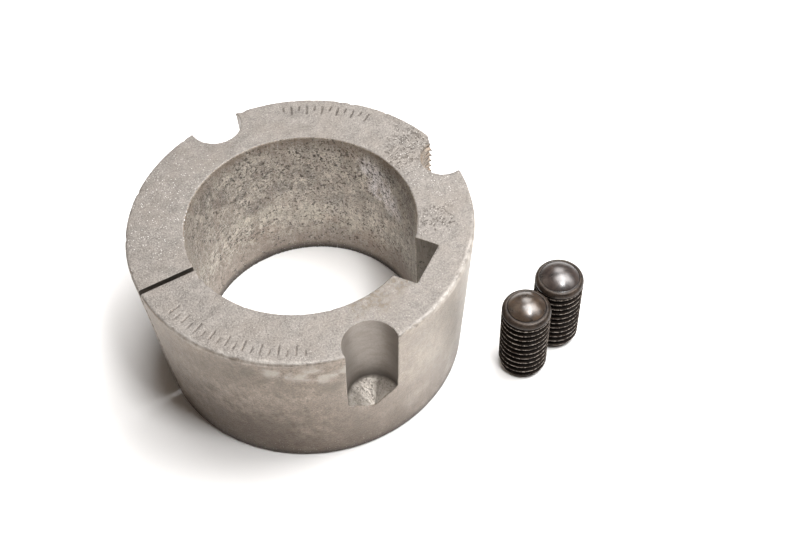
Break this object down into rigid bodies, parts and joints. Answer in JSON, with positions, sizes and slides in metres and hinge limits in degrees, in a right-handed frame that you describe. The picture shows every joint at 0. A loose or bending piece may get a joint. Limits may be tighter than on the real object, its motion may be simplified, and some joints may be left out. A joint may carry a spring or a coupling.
{
  "type": "split taper bush",
  "caption": "Split tapered bush with keyed bore and half-holes in its rim, and the dome-point set screws that draw it into a pulley hub.",
  "frame": {"origin": "on the bore's axis, at the small end's face", "axes": "+Z along the bore from the small end to the large end; +X through the tapped half-hole; the slit is at -X"},
  "size_m": [0.104, 0.0872, 0.0444],
  "materials": {
    "bush": "machined grey iron, dull and lightly stained",
    "screw": "black oxide, satin, worn brown on the crests"
  },
  "bodies": {
    "bush": {"taper_bush": "bush"},
    "front_screw": {"front_set_screw": "screw"},
    "rear_screw": {"rear_set_screw": "screw"}
  },
  "joints": [
    {"name": "front_screw_lift", "type": "slide", "parent": "bush", "child": "front_screw", "axis": [0, 0, 1], "range_m": [0, 0.055]},
    {"name": "rear_screw_lift", "type": "slide", "parent": "bush", "child": "rear_screw", "axis": [0, 0, 1], "range_m": [0, 0.055]}
  ]
}
